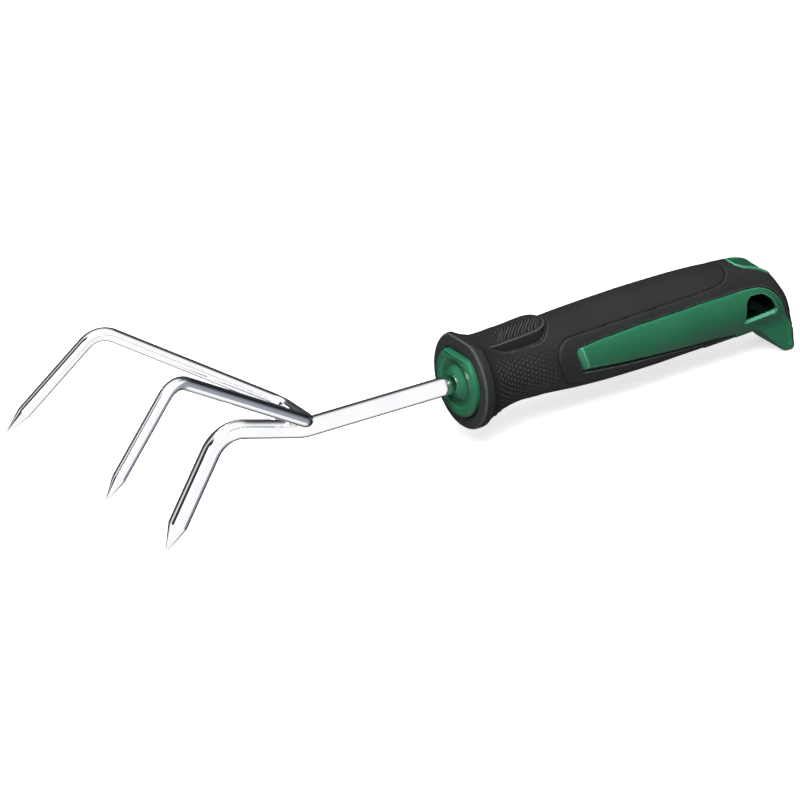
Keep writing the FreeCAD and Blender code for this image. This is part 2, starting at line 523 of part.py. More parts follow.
tang_r = g("shank_dia") / 2 + g("bore_gap")
f0, fl = g("tang_flat_start"), g("tang_flat_length")
tang_cyl = cylinder_x("tang_bore", tang_r, g("tang_length") + g("bore_gap") + 5, -5,
                      (("Radius", "dims.shank_dia / 2 + dims.bore_gap"), ("Height", "dims.tang_length + dims.bore_gap + 5")))
keys = []
for s in (1, -1):
    k = box("tang_key_%s" % ("far" if s > 0 else "near"), fl - 0.06, 4, 12, f0 + 0.03, s * (g("tang_flat_width") / 2 + g("bore_gap")) - (0 if s > 0 else 4), -6,
            (("Length", "dims.tang_flat_length - 0.06"), ("Placement.Base.x", "dims.tang_flat_start + 0.03"),
             ("Placement.Base.y", "dims.tang_flat_width / 2 + dims.bore_gap" if s > 0 else "-(dims.tang_flat_width / 2 + dims.bore_gap) - 4")))
    keys.append(k)
key_pair = fuse("tang_keys", keys)
tang_space = pair("Part::Cut", "tang_space", tang_cyl, key_pair)
core_tools = fuse("core_tools", [tang_space, hole_body])
core = pair("Part::Cut", "handle_core", core_solid, core_tools)
core.Label = "handle_core"
set_down(core)
doc.recompute()

# --------------------------------------------------------------- soft grip
cap_seat = cylinder_x("cap_seat", g("cap_radius") + g("cap_gap"), g("cap_back") + 5, -5,
                      (("Radius", "dims.cap_radius + dims.cap_gap"), ("Height", "dims.cap_back + 5")))
seat_flat = box("cap_seat_flat", 40, 60, 20, -20, -30, g("cap_flat") + g("cap_gap"), (("Placement.Base.z", "dims.cap_flat + dims.cap_gap"),))
seat = pair("Part::Cut", "cap_seat_space", cap_seat, seat_flat)
grip_open = pair("Part::Cut", "grip_panels_open", envelope, panel_body)
grip_shell = pair("Part::Cut", "grip_over_spine", grip_open, inner)
grip_end = pair("Part::Cut", "grip_over_end", grip_shell, end_in_cut)
grip_window = pair("Part::Cut", "grip_window_open", grip_end, window_tool)
grip = pair("Part::Cut", "soft_grip", grip_window, seat)
grip.Label = "soft_grip"
set_down(grip)
doc.recompute()

# ------------------------------------------------------------ check and write
SUB_PARTS = [rod, side, doc.getObject("weld_bead_front"), doc.getObject("weld_bead_rear"), core, cap, grip]
bad = []
for o in doc.Objects:
    if any(s in ("Invalid", "Error") for s in o.State):
        bad.append("%s: %s" % (o.Name, o.State))
for o in SUB_PARTS:
    if o.Shape.isNull() or not o.Shape.isValid():
        bad.append("%s: shape null or not valid" % o.Label)
if bad:
    raise RuntimeError("; ".join(bad))
for o in SUB_PARTS:
    b = o.Shape.BoundBox
    print("%-16s solids %d volume %9.1f  x %.2f..%.2f  y %.2f..%.2f  z %.2f..%.2f" % (
        o.Label, len(o.Shape.Solids), o.Shape.Volume, b.XMin, b.XMax, b.YMin, b.YMax, b.ZMin, b.ZMax))
    o.Shape.exportStep("parts/%s.step" % o.Label)
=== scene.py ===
import math

import bpy
import numpy as np
from mathutils import Matrix, Vector


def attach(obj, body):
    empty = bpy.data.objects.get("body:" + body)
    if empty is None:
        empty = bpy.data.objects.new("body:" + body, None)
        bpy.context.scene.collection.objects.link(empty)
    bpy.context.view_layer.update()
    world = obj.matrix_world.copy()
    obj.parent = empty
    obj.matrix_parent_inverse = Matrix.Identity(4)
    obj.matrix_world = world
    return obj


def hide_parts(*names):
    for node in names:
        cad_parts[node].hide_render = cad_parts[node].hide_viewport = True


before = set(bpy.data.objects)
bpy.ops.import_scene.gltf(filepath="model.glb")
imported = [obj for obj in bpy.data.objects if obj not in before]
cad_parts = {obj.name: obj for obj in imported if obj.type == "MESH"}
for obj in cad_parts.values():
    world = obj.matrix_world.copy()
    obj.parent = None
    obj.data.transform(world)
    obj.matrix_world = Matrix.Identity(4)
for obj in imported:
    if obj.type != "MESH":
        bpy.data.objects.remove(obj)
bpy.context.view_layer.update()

# The shapes below are worked out in the tool's own frame, in millimetres: +X runs
# along the shank to the end of the handle, Z is up, and the origin is where the
# shank enters the handle.  The tool is then set down as the CAD parts are.
TILT, SHIFT, LIFT = math.radians(2.03), 9.303, 30.505
CT, ST = math.cos(TILT), math.sin(TILT)


def set_down(p):
    p = np.asarray(p, float)
    return np.stack([p[:, 0] * CT + p[:, 2] * ST + SHIFT, p[:, 1], -p[:, 0] * ST + p[:, 2] * CT + LIFT], 1) * 0.001


def turn_down(n):
    n = np.asarray(n, float)
    return np.stack([n[:, 0] * CT + n[:, 2] * ST, n[:, 1], -n[:, 0] * ST + n[:, 2] * CT], 1)


# ---------------------------------------------------------------- shape tools
def smin(a, b, k):
    h = np.maximum(k - np.abs(a - b), 0) / k
    return np.minimum(a, b) - h * h * k * 0.25


def smax(a, b, k):
    h = np.maximum(k - np.abs(a - b), 0) / k
    return np.maximum(a, b) + h * h * k * 0.25


def step(a, b, x):
    t = np.clip((x - a) / (b - a), 0, 1)
    return t * t * (3 - 2 * t)


class Track:
    """A smooth value along x that doesn't overshoot between its points."""

    def __init__(self, pts):
        x = np.array([p[0] for p in pts], float)
        y = np.array([p[1] for p in pts], float)
        h, d = np.diff(x), np.diff(y) / np.diff(x)
        m = np.zeros_like(x)
        m[0], m[-1] = d[0], d[-1]
        for i in range(1, len(x) - 1):
            if d[i - 1] * d[i] > 0:
                w1, w2 = 2 * h[i] + h[i - 1], h[i] + 2 * h[i - 1]
                m[i] = (w1 + w2) / (w1 / d[i - 1] + w2 / d[i])
        self.x = np.linspace(x[0], x[-1], 1600)
        i = np.clip(np.searchsorted(x, self.x, side="right") - 1, 0, len(x) - 2)
        t = (self.x - x[i]) / h[i]
        self.y = ((2 * t ** 3 - 3 * t ** 2 + 1) * y[i] + (t ** 3 - 2 * t ** 2 + t) * h[i] * m[i]
                  + (3 * t ** 2 - 2 * t ** 3) * y[i + 1] + (t ** 3 - t ** 2) * h[i] * m[i + 1])

    def __call__(self, x):
        return np.interp(x, self.x, self.y)


def rounded(points, radii, steps=9):
    """An outline with arcs in its corners."""
    out, n = [], len(points)
    for i in range(n):
        b = np.array(points[i], float)
        r = radii.get(i, 0) if isinstance(radii, dict) else radii
        if not r:
            out.append(b)
            continue
        a, c = np.array(points[i - 1], float), np.array(points[(i + 1) % n], float)
        u, w = a - b, c - b
        lu, lw = np.linalg.norm(u), np.linalg.norm(w)
        u, w = u / lu, w / lw
        half = math.acos(max(-1, min(1, float(u @ w)))) / 2
        if half > 1.565:
            out.append(b)
            continue
        back = min(r / math.tan(half), 0.49 * lu, 0.49 * lw)
        r = back * math.tan(half)
        mid = (u + w) / np.linalg.norm(u + w)
        centre = b + mid * (r / math.sin(half))
        s, e = b + u * back - centre, b + w * back - centre
        a0, a1 = math.atan2(s[1], s[0]), math.atan2(e[1], e[0])
        d = (a1 - a0 + math.pi) % (2 * math.pi) - math.pi
        for k in range(steps + 1):
            t = a0 + d * k / steps
            out.append(centre + r * np.array([math.cos(t), math.sin(t)]))
    return np.array(out)


class Plan:
    """Signed distance to a flat outline, negative inside, kept as a table."""

    def __init__(self, outline, lo, hi, d=0.2, closed=True, signed=True):
        self.lo, self.d = np.array(lo, float), d
        nx, ny = int((hi[0] - lo[0]) / d) + 2, int((hi[1] - lo[1]) / d) + 2
        X, Y = np.meshgrid(lo[0] + np.arange(nx) * d, lo[1] + np.arange(ny) * d, indexing="ij")
        best, inside = np.full(X.shape, 1e18), np.zeros(X.shape, bool)
        m = len(outline) if closed else len(outline) - 1
        for i in range(m):
            a, b = outline[i], outline[(i + 1) % len(outline)]
            e = b - a
            L = float(e @ e)
            if L < 1e-12:
                continue
            px, py = X - a[0], Y - a[1]
            t = np.clip((px * e[0] + py * e[1]) / L, 0, 1)
            best = np.minimum(best, (px - t * e[0]) ** 2 + (py - t * e[1]) ** 2)
            if signed and abs(e[1]) > 1e-12:
                hit = ((a[1] > Y) != (b[1] > Y)) & (X < (b[0] - a[0]) * (Y - a[1]) / e[1] + a[0])
                inside ^= hit
        self.t = np.sqrt(best)
        if signed:
            self.t = np.where(inside, -self.t, self.t)

    def __call__(self, u, v):
        u, v = np.broadcast_arrays(u, v)
        fu = np.clip((u - self.lo[0]) / self.d, 0, self.t.shape[0] - 1.001)
        fv = np.clip((v - self.lo[1]) / self.d, 0, self.t.shape[1] - 1.001)
        i, j = fu.astype(int), fv.astype(int)
        a, b = fu - i, fv - j
        T = self.t
        return (T[i, j] * (1 - a) * (1 - b) + T[i + 1, j] * a * (1 - b) + T[i, j + 1] * (1 - a) * b + T[i + 1, j + 1] * a * b)


# ------------------------------------------------------- surface from a field
def net(fn, lo, hi, size, relax=2):
    """The surface where fn is zero, as points in the tool's frame, quads and outward normals."""
    lo, hi, B = np.array(lo, float), np.array(hi, float), 4
    nb = np.ceil((hi - lo) / (size * B)).astype(int)
    cx = [lo[i] + np.arange(nb[i] + 1) * size * B for i in range(3)]
    X, Y, Z = np.meshgrid(*cx, indexing="ij")
    C = fn(X.ravel(), Y.ravel(), Z.ravel()).reshape(X.shape)
    near = np.full(nb, 1e9)
    for di in (0, 1):
        for dj in (0, 1):
            for dk in (0, 1):
                near = np.minimum(near, np.abs(C[di:nb[0] + di, dj:nb[1] + dj, dk:nb[2] + dk]))
    live = np.argwhere(near < size * B * 1.733 * 1.25 + 0.8)
    n = nb * B + 1
    F = np.ones(n, np.float32)
    sign = np.where(C[:-1, :-1, :-1] < 0, -9.0, 9.0).astype(np.float32)
    F[:-1, :-1, :-1] = sign.repeat(B, 0).repeat(B, 1).repeat(B, 2)
    F[-1], F[:, -1], F[:, :, -1] = 9, 9, 9
    k = np.arange(B + 1)
    off = np.stack(np.meshgrid(k, k, k, indexing="ij"), -1).reshape(-1, 3)
    for s in range(0, len(live), 4000):
        idx = (live[s:s + 4000, None, :] * B + off[None]).reshape(-1, 3)
        P = lo + idx * size
        F[idx[:, 0], idx[:, 1], idx[:, 2]] = fn(P[:, 0], P[:, 1], P[:, 2])
    S = F < 0
    cnt = np.zeros(n - 1, np.int8)
    for di in (0, 1):
        for dj in (0, 1):
            for dk in (0, 1):
                cnt += S[di:n[0] - 1 + di, dj:n[1] - 1 + dj, dk:n[2] - 1 + dk]
    cells = np.argwhere((cnt > 0) & (cnt < 8))
    corner = np.array([(i, j, m) for i in (0, 1) for j in (0, 1) for m in (0, 1)])
    V = np.stack([F[cells[:, 0] + c[0], cells[:, 1] + c[1], cells[:, 2] + c[2]] for c in corner], 1)
    acc, num = np.zeros((len(cells), 3)), np.zeros(len(cells))
    for a in range(8):
        for b in range(a + 1, 8):
            if np.abs(corner[a] - corner[b]).sum() == 1:
                cut = (V[:, a] < 0) != (V[:, b] < 0)
                t = np.where(cut, V[:, a] / np.where(cut, V[:, a] - V[:, b], 1), 0)
                acc += np.where(cut[:, None], corner[a] + t[:, None] * (corner[b] - corner[a]), 0)
                num += cut
    P = lo + (cells + acc / num[:, None]) * size
    index = np.full(n - 1, -1, np.int32)
    index[cells[:, 0], cells[:, 1], cells[:, 2]] = np.arange(len(cells))
    quads = []
    for ax in range(3):
        a = [slice(None)] * 3
        b = [slice(None)] * 3
        a[ax], b[ax] = slice(0, -1), slice(1, None)
        cross = np.argwhere(S[tuple(a)] != S[tuple(b)])
        u, w = (ax + 1) % 3, (ax + 2) % 3
        cross = cross[(cross[:, u] > 0) & (cross[:, w] > 0) & (cross[:, u] < n[u] - 1) & (cross[:, w] < n[w] - 1)]
        ring = []
        for du, dw in ((-1, -1), (0, -1), (0, 0), (-1, 0)):
            c = cross.copy()
            c[:, u] += du
            c[:, w] += dw
            ring.append(index[c[:, 0], c[:, 1], c[:, 2]])
        q = np.stack(ring, 1)
        out = S[cross[:, 0], cross[:, 1], cross[:, 2]]
        quads.append(np.where(out[:, None], q, q[:, ::-1]))
    Q = np.concatenate(quads)
    Q = Q[(Q >= 0).all(1)]

    def grad(P):
        h = 0.06
        e = np.eye(3) * h
        return np.stack([fn(*(P + e[i]).T) - fn(*(P - e[i]).T) for i in range(3)], 1) / (2 * h)

    def settle(P, times):
        for _ in range(times):
            g = grad(P)
            f = fn(*P.T)
            s = np.clip(f / np.maximum((g * g).sum(1), 0.05), -0.5 * size, 0.5 * size)
            P = P - s[:, None] * g
        return P

    P = settle(P, 2)
    E = np.concatenate([Q[:, [0, 1]], Q[:, [1, 2]], Q[:, [2, 3]], Q[:, [3, 0]]])
    for _ in range(relax):
        A, N = np.zeros_like(P), np.zeros(len(P))
        for i in range(3):
            A[:, i] = np.bincount(E[:, 0], P[E[:, 1], i], len(P)) + np.bincount(E[:, 1], P[E[:, 0], i], len(P))
        N = np.bincount(E[:, 0], minlength=len(P)) + np.bincount(E[:, 1], minlength=len(P))
        P = settle(P + 0.5 * (A / np.maximum(N, 1)[:, None] - P), 1)
    g = grad(P)
    g /= np.maximum(np.linalg.norm(g, axis=1), 1e-9)[:, None]
    return P, Q, g


def edge_marks(P, Q, N):
    """Positive on ridges and negative in creases, from how the normals turn along the mesh's edges."""
    E = np.concatenate([Q[:, [0, 1]], Q[:, [1, 2]], Q[:, [2, 3]], Q[:, [3, 0]]])
    d = P[E[:, 1]] - P[E[:, 0]]
    c = ((N[E[:, 1]] - N[E[:, 0]]) * d).sum(1) / np.maximum((d * d).sum(1), 1e-6)
    n = np.maximum(np.bincount(E[:, 0], minlength=len(P)) + np.bincount(E[:, 1], minlength=len(P)), 1)
    spread = lambda v: (np.bincount(E[:, 0], v, len(P)) + np.bincount(E[:, 1], v, len(P))) / n
    m = spread(np.clip(c, -3, 3))
    return 0.6 * m + 0.4 * spread(0.5 * (m[E[:, 0]] + m[E[:, 1]]))


def core_marks(P, Q, N):
    """Painted highlights on the hang hole's ledge and the panel's facets and rim, and painted shade in the hollows,
    where the shape alone marks them too weakly.
    """
    x, y, z = P.T
    m = np.clip(edge_marks(P, Q, N), -1, 0.95)
    on_skin = ell(x, y, z) > -1.6
    zb = np.interp(x, [54, 72, 101, 122, 131, 131.6, 180], [-4.5, -6.2, -8.0, -9.3, -10.15, -40, -40])
    tf = ((x - 50.6) * 0.9537 + (z - 6.3) * 0.3003)
    side = (np.abs(y) > 8) & on_skin & (z > zb - 0.2)
    # painted highlight: the panel's lit front facet, and on the next line its bright ridge
    m = np.where(side & (tf > 0.2) & (tf < 2.3), 0.62, m)
    m = np.where(side & (np.abs(tf - 2.75) < 0.4), 0.95, m)
    hb, wide = z - zb, 1.9 - 0.7 * step(70, 115, x)
    # painted shade along the panel's lower bevel, and on the next line a painted highlight line at its edge
    m = np.where(side & (tf > 2.3) & (x < 128) & (hb < wide - 0.35), -0.50, m)
    m = np.where(side & (tf > 2.3) & (x < 128) & (np.abs(hb - wide) < 0.35), 0.42 + 0.45 * step(92, 62, x), m)
    # painted highlight on the hang hole's ledge, which faces the light above
    ledge = (x > 133.0) & (x < 150.9) & (np.abs(z + 4.3) < 0.95) & (ell(x, y, z) > -1.5) & (N[:, 2] > 0.30) & (np.abs(y) > 8)
    m = np.where(ledge, 1.1, m)
    # painted shade inside the hang hole
    deep_in = (x > 132) & (x < 154) & (z > -10) & (z < 9) & (ell(x, y, z) < -1.9) & (PANEL_SIDE(x, z) < 0)
    m = np.where(deep_in, -1.1, m)
    # painted shade in the window's dish
    m = np.where((z > 9) & (WINDOW_PLAN(x, y) < -2.0) & (x > 134), -0.62, m)
    return m


def cap_marks(P, Q, N):
    rr = np.hypot(P[:, 1], P[:, 2])
    # painted highlight on ridges and painted shade in creases, weakened
    m = np.clip(0.55 * edge_marks(P, Q, N), -1, 0.5)
    # painted shade in the recess ring around the boss
    return np.where((rr > 7.4) & (rr < 9.9) & (P[:, 0] < 4), -0.62, m)


def grip_marks(P, Q, N):
    x, y, z = P.T
    m = edge_marks(P, Q, N)
    rr = np.sqrt(y * y + (z - 0.2) ** 2)
    # painted highlight on the collar's front face, which faces the light
    m = np.where((x < 3.9) & (rr > 14.8), 0.52, m)
    # painted highlight along the collar's chamfer line
    m = np.where((x < 4.35) & ((rr > 19.45) | (z > 18.15)), 1.1, m)
    # painted shade in the crease behind the collar's rim
    return np.where((x > 8.0) & (x < 8.8) & (ell(x, y, z) > -2), -0.7, m)


def mesh_piece(name, P, faces, material, nodes=(), normals=None, marks=None):
    me = bpy.data.meshes.new(name)
    me.from_pydata(set_down(P).tolist(), [], faces.tolist() if hasattr(faces, "tolist") else faces)
    me.validate()
    me.shade_smooth()
    if normals is not None and len(me.vertices) == len(P):
        me.normals_split_custom_set_from_vertices(turn_down(normals).tolist())
    if normals is not None and marks is None:
        marks = edge_marks(P, faces, normals)
    if marks is not None and len(me.vertices) == len(P):
        # two colour attributes: the first lightens ridges and marked facets as a painted highlight, deep darkens
        # creases and hollows as painted shade
        painted_highlight, deep = me.attributes.new("painted_highlight", "FLOAT", "POINT"), me.attributes.new("deep", "FLOAT", "POINT")
        painted_highlight.data.foreach_set("value", step(0.30, 1.10, marks).astype(np.float32))
        deep.data.foreach_set("value", step(-0.25, -1.00, marks).astype(np.float32))
    ob = bpy.data.objects.new(name, me)
    bpy.context.scene.collection.objects.link(ob)
    me.materials.append(material)
    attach(ob, "root")
    if nodes:
        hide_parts(*nodes)
    return ob


# ------------------------------------------------------------------ materials
def new_material(name):
    m = bpy.data.materials.new(name)
    m.use_nodes = True
    nt = m.node_tree
    nt.nodes.clear()
    out = nt.nodes.new("ShaderNodeOutputMaterial")
    bs = nt.nodes.new("ShaderNodeBsdfPrincipled")
    nt.links.new(bs.outputs[0], out.inputs[0])
    return m, nt, bs


def node(nt, kind, **sockets):
    n = nt.nodes.new(kind)
    for k, v in sockets.items():
        n.inputs[k.replace("_", " ")].default_value = v
    return n


def object_noise(nt, scale, detail=3.0, rough=0.55):
    tc = nt.nodes.new("ShaderNodeTexCoord")
    n = node(nt, "ShaderNodeTexNoise", Scale=scale, Detail=detail, Roughness=rough)
    nt.links.new(tc.outputs["Object"], n.inputs["Vector"])
    return n


def ramp(nt, src, lo, hi, a, b):
    r = node(nt, "ShaderNodeMapRange")
    for i, v in ((1, lo), (2, hi), (3, a), (4, b)):
        r.inputs[i].default_value = v
    nt.links.new(src, r.inputs[0])
    return r.outputs[0]


def two_tone(nt, fac, c0, c1):
    r = nt.nodes.new("ShaderNodeValToRGB")
    r.color_ramp.elements[0].color = (*c0, 1)
    r.color_ramp.elements[1].color = (*c1, 1)
    r.color_ramp.elements[0].position, r.color_ramp.elements[1].position = 0.3, 0.7
    nt.links.new(fac, r.inputs[0])
    return r.outputs[0]


def chrome():
    m, nt, bs = new_material("chromed_steel")
    bs.inputs["Metallic"].default_value = 1.0
    wide = object_noise(nt, 60, 2)
    fine = object_noise(nt, 900, 4, 0.6)
    nt.links.new(two_tone(nt, wide.outputs["Fac"], (0.80, 0.81, 0.83), (0.87, 0.88, 0.89)), bs.inputs["Base Color"])
    nt.links.new(ramp(nt, fine.outputs["Fac"], 0.35, 0.7, 0.05, 0.11), bs.inputs["Roughness"])
    b = node(nt, "ShaderNodeBump", Strength=0.05, Distance=0.0002)
    nt.links.new(wide.outputs["Fac"], b.inputs["Height"])
    nt.links.new(b.outputs[0], bs.inputs["Normal"])
    return m


def weld_metal():
    m, nt, bs = new_material("chromed_weld")
    bs.inputs["Metallic"].default_value = 1.0
    n = object_noise(nt, 700, 3, 0.6)
    nt.links.new(two_tone(nt, n.outputs["Fac"], (0.50, 0.50, 0.51), (0.72, 0.73, 0.74)), bs.inputs["Base Color"])
    nt.links.new(ramp(nt, n.outputs["Fac"], 0.3, 0.7, 0.16, 0.34), bs.inputs["Roughness"])
    b = node(nt, "ShaderNodeBump", Strength=0.35, Distance=0.0003)
    nt.links.new(n.outputs["Fac"], b.inputs["Height"])
    nt.links.new(b.outputs[0], bs.inputs["Normal"])
    return m


def green():
    m, nt, bs = new_material("green_plastic")
    wide = object_noise(nt, 45, 2)
    fine = object_noise(nt, 2600, 3, 0.65)
    base = two_tone(nt, wide.outputs["Fac"], (0.0190, 0.128, 0.062), (0.0230, 0.147, 0.073))
    # light colour: painted highlight on ridges; dark colour: painted shade in creases
    nt.links.new(edged(nt, base, (0.100, 0.340, 0.215), (0.002, 0.018, 0.008)), bs.inputs["Base Color"])
    nt.links.new(ramp(nt, fine.outputs["Fac"], 0.3, 0.7, 0.26, 0.36), bs.inputs["Roughness"])
    bs.inputs["IOR"].default_value = 1.5
    bs.inputs["Specular IOR Level"].default_value = 0.24
    bs.inputs["Specular Tint"].default_value = (0.30, 0.95, 0.60, 1)
    b = node(nt, "ShaderNodeBump", Strength=0.16, Distance=0.0001)
    nt.links.new(fine.outputs["Fac"], b.inputs["Height"])
    nt.links.new(b.outputs[0], bs.inputs["Normal"])
    return m


def rubber():
    m, nt, bs = new_material("black_soft_grip")
    wide = object_noise(nt, 38, 3)
    grain = object_noise(nt, 1500, 4, 0.7)
    base = two_tone(nt, wide.outputs["Fac"], (0.0160, 0.0172, 0.0174), (0.0215, 0.0228, 0.0230))
    # light colour: painted highlight on ridges; dark colour: painted shade in creases
    nt.links.new(edged(nt, base, (0.075, 0.078, 0.080), (0.003, 0.003, 0.003)), bs.inputs["Base Color"])
    nt.links.new(ramp(nt, grain.outputs["Fac"], 0.3, 0.7, 0.40, 0.54), bs.inputs["Roughness"])
    bs.inputs["IOR"].default_value = 1.5
    bs.inputs["Specular IOR Level"].default_value = 0.09
    b = node(nt, "ShaderNodeBump", Strength=0.32, Distance=0.00012)
    nt.links.new(grain.outputs["Fac"], b.inputs["Height"])
    nt.links.new(b.outputs[0], bs.inputs["Normal"])
    return m


def edged(nt, base, light, dark):
    """base, with painted highlights along the piece's ridges and painted shade in its creases."""
    col = base
    for name, c in (("painted_highlight", light), ("deep", dark)):
        at = nt.nodes.new("ShaderNodeAttribute")
        at.attribute_name = name
        mix = nt.nodes.new("ShaderNodeMix")
        mix.data_type = "RGBA"
        nt.links.new(at.outputs["Fac"], mix.inputs[0])
        nt.links.new(col, mix.inputs[6])
        mix.inputs[7].default_value = (*c, 1)
        col = mix.outputs[2]
    return col


def pale(name, c0, c1):
    m, nt, bs = new_material(name)
    n = object_noise(nt, 3, 3)
    nt.links.new(two_tone(nt, n.outputs["Fac"], c0, c1), bs.inputs["Base Color"])
    bs.inputs["Roughness"].default_value = 0.9
    # a lit sweep: only a faint shadow stays on it
    bs.inputs["Emission Color"].default_value = (1, 1, 1, 1)
    bs.inputs["Emission Strength"].default_value = 0.62
    return m


CHROME, WELD, GREEN, RUBBER = chrome(), weld_metal(), green(), rubber()

# ------------------------------------------------------------- handle's sizes
STATIONS = [
    (4.0, 19.6, 19.9, 19.5), (7.9, 19.75, 20.0, 19.7), (9.5, 18.95, 19.2, 19.0), (13.2, 17.35, 17.7, 17.5), (18.0, 15.75, 16.5, 15.9),
    (23.0, 14.75, 16.1, 14.95), (28.5, 14.3, 16.15, 14.4), (35.0, 14.3, 16.7, 14.65), (44.0, 14.8, 17.4, 15.2), (56.0, 15.5, 18.1, 16.1),
    (72.0, 16.1, 18.85, 16.6), (90.0, 16.4, 19.4, 16.5), (108.0, 16.3, 19.5, 15.8), (122.0, 15.9, 19.1, 15.4), (131.0, 15.4, 18.5, 15.2),
    (139.0, 14.7, 18.0, 15.1), (147.0, 13.5, 16.6, 15.0), (154.0, 12.2, 14.2, 14.8), (160.0, 10.9, 11.4, 14.6), (168.0, 9.0, 7.5, 14.2)]
WIDE = Track([(s[0], s[1]) for s in STATIONS])
UP = Track([(s[0], s[2]) for s in STATIONS])
DOWN = Track([(s[0], s[3]) for s in STATIONS])

END = [(116, 20.2), (136, 18.3), (149.0, 15.4), (156.6, 1.9), (162.25, -13.0), (162.5, -24.9), (156.4, -24.9), (142.4, -10.6), (116, -11.7)]
END_ROUND = {1: 22.0, 2: 9.0, 3: 16.0, 4: 12.0, 5: 4.6, 6: 4.4, 7: 8.0}
PLATE = [(116, 14.2), (136, 13.0), (146.6, 9.8), (155.2, -0.9)] + END[4:]
PANEL = [(50.6, 6.3), (62.0, 7.8), (82.0, 9.2), (112.0, 10.2), (134.0, 10.1), (142.5, 9.2), (148.6, 6.2), (153.2, 0.8),
         (156.4, -5.8), (159.2, -12.0), (162.0, -16.2), (172.0, -16.4), (172.0, -34.0), (131.0, -34.0), (131.0, -10.15), (122.0, -9.3),
         (101.0, -8.0), (72.0, -6.2), (54.0, -4.5)]
PANEL_ROUND = {0: 1.2, 1: 60, 2: 80, 3: 120, 4: 40, 5: 16, 6: 12, 7: 18, 8: 30, 9: 12, 10: 2.5, 14: 0.6, 15: 60, 16: 90, 17: 90, 18: 1.2}
HOLE = [(134.1, -3.9), (150.3, -3.7), (151.0, -2.9), (148.4, 2.2), (143.2, 6.3), (136.6, 6.9), (134.3, 4.6)]
WINDOW = [(135.4, 0), (136.0, 3.7), (139.2, 6.2), (144.6, 7.0), (149.2, 8.0), (153.0, 7.0), (154.9, 3.8), (155.4, 0)]

SIDE = Plan(rounded(END, END_ROUND), (100, -34), (176, 26))
PLATE_SIDE = Plan(rounded(PLATE, END_ROUND), (100, -34), (176, 26))
PANEL_SIDE = Plan(rounded(PANEL, PANEL_ROUND), (44, -34), (176, 26))
HOLE_SIDE = Plan(rounded(HOLE, {0: 0.7, 1: 0.5, 2: 0.6, 3: 7, 4: 6, 5: 2.6, 6: 2.2}), (126, -14), (162, 16), 0.1)
CAVE = Plan(rounded([(133.4, -8.6), (149.4, -8.8), (152.0, -6.0), (151.6, -2.4), (148.8, 2.6), (143.4, 6.9), (135.4, 7.6), (133.4, 6.0)],
                    {0: 1, 1: 2, 2: 2, 3: 3, 4: 4, 5: 3, 6: 1, 7: 0.6}), (126, -16), (162, 16), 0.1)
w = WINDOW + [(x, -y) for x, y in WINDOW[-2:0:-1]]
WINDOW_PLAN = Plan(rounded(w, 3.0), (126, -12), (162, 12), 0.1)
# the groove that frames the side panel, as x against distance round the section from the top
GROOVE = [(130.9, -8), (130.9, 0), (129.9, 20), (126.0, 34.0), (120.0, 37.6), (113.5, 39.8), (98.5, 41.2), (83.6, 42.5), (64.0, 44.5), (51.0, 44.8), (47.2, 46.6), (44.7, 52.3),
          (42.9, 61.0), (42.4, 70.3), (42.8, 83.0), (43.9, 95.5), (45.3, 110.0), (47.4, 124.0), (51.5, 131.0), (58.0, 133.6), (72.0, 133.6), (100.0, 131.0),
          (122.0, 129.0), (131.2, 128.4)]
ARC = 0.28
g2 = np.array([(x, t * ARC) for x, t in GROOVE])
for _ in range(3):
    nxt = [g2[0]]
    for a, b in zip(g2[:-1], g2[1:]):
        nxt += [0.75 * a + 0.25 * b, 0.25 * a + 0.75 * b]
    g2 = np.array(nxt + [g2[-1]])
GROOVE_LINE = Plan(g2, (30, -3), (140, 53), 0.15, closed=False, signed=False)
frame_area = np.vstack([g2, [(200, 128.4 * ARC), (200, -8 * ARC)]])
FRAME_AREA = Plan(frame_area, (30, -3), (180, 53), 0.2)


def ell(x, y, z, grow=0.0):
    w, u, d = WIDE(x) + grow, UP(x), DOWN(x)
    c, h = (u - d) / 2, (u + d) / 2 + grow
    a, b = y / w, (z - c) / h
    k = np.sqrt(a * a + b * b) + 1e-9
    return (k - 1) * k / np.maximum(np.sqrt((a / w) ** 2 + (b / h) ** 2), 1e-3)


def plate(x, y, z):
    half = 11.4 - np.maximum(x - 132, 0) * 0.0349
    dish = 0.55 * step(2.6, 4.4, -PLATE_SIDE(x, z)) * step(-3, -9, z + (x - 150) * 0.2) * step(141, 147, x)
    # a tighter edge along the hook's front
    r = 3.8 - 2.3 * step(-7, -3, -0.714 * (x - 149.4) - 0.70 * (z + 17.7)) * step(-7.5, -11, z)
    a, b = PLATE_SIDE(x, z) + r, np.abs(y) - (half - dish) + r
    return np.minimum(np.maximum(a, b), 0) + np.sqrt(np.maximum(a, 0) ** 2 + np.maximum(b, 0) ** 2) - r


def rest_plan(x, y):
    return np.sqrt(np.maximum(x - 35.6, 0) ** 2 + y * y) - 8.0


def skin(x, y, z):
    """The whole handle's outside, before it is divided into green and black."""
    e = ell(x, y, z)
    front = smax(smax(e, x - 131.0, 0.5), 6.0 - x, 0.3)
    k = 0.05 + 2.2 * step(134, 152, x)
    back = smax(e, SIDE(x, z), k)
    d = np.minimum(front, smin(back, plate(x, y, z), 2.4))
    rr = np.sqrt(y * y + (z - 0.2) ** 2)
    col = smax(smax(rr - 20.4, np.abs(x - 5.75) - 2.15, 0.7), ((rr - 20.4) + (3.6 - x) + 0.95) * 0.7071, 0.35)
    d = smin(d, col, 0.5)
    d = smax(d, np.where(x < 30, z - 18.7, -5.0), 0.7)
    saddle = 15.0 - np.sqrt((x - 15.4) ** 2 + (z - 30.4) ** 2)
    d = smax(d, np.where(x < 40, saddle, -5.0), 0.9)
    return d


def rel_angle(y, z):
    return np.degrees(np.arctan2(np.abs(y), z))


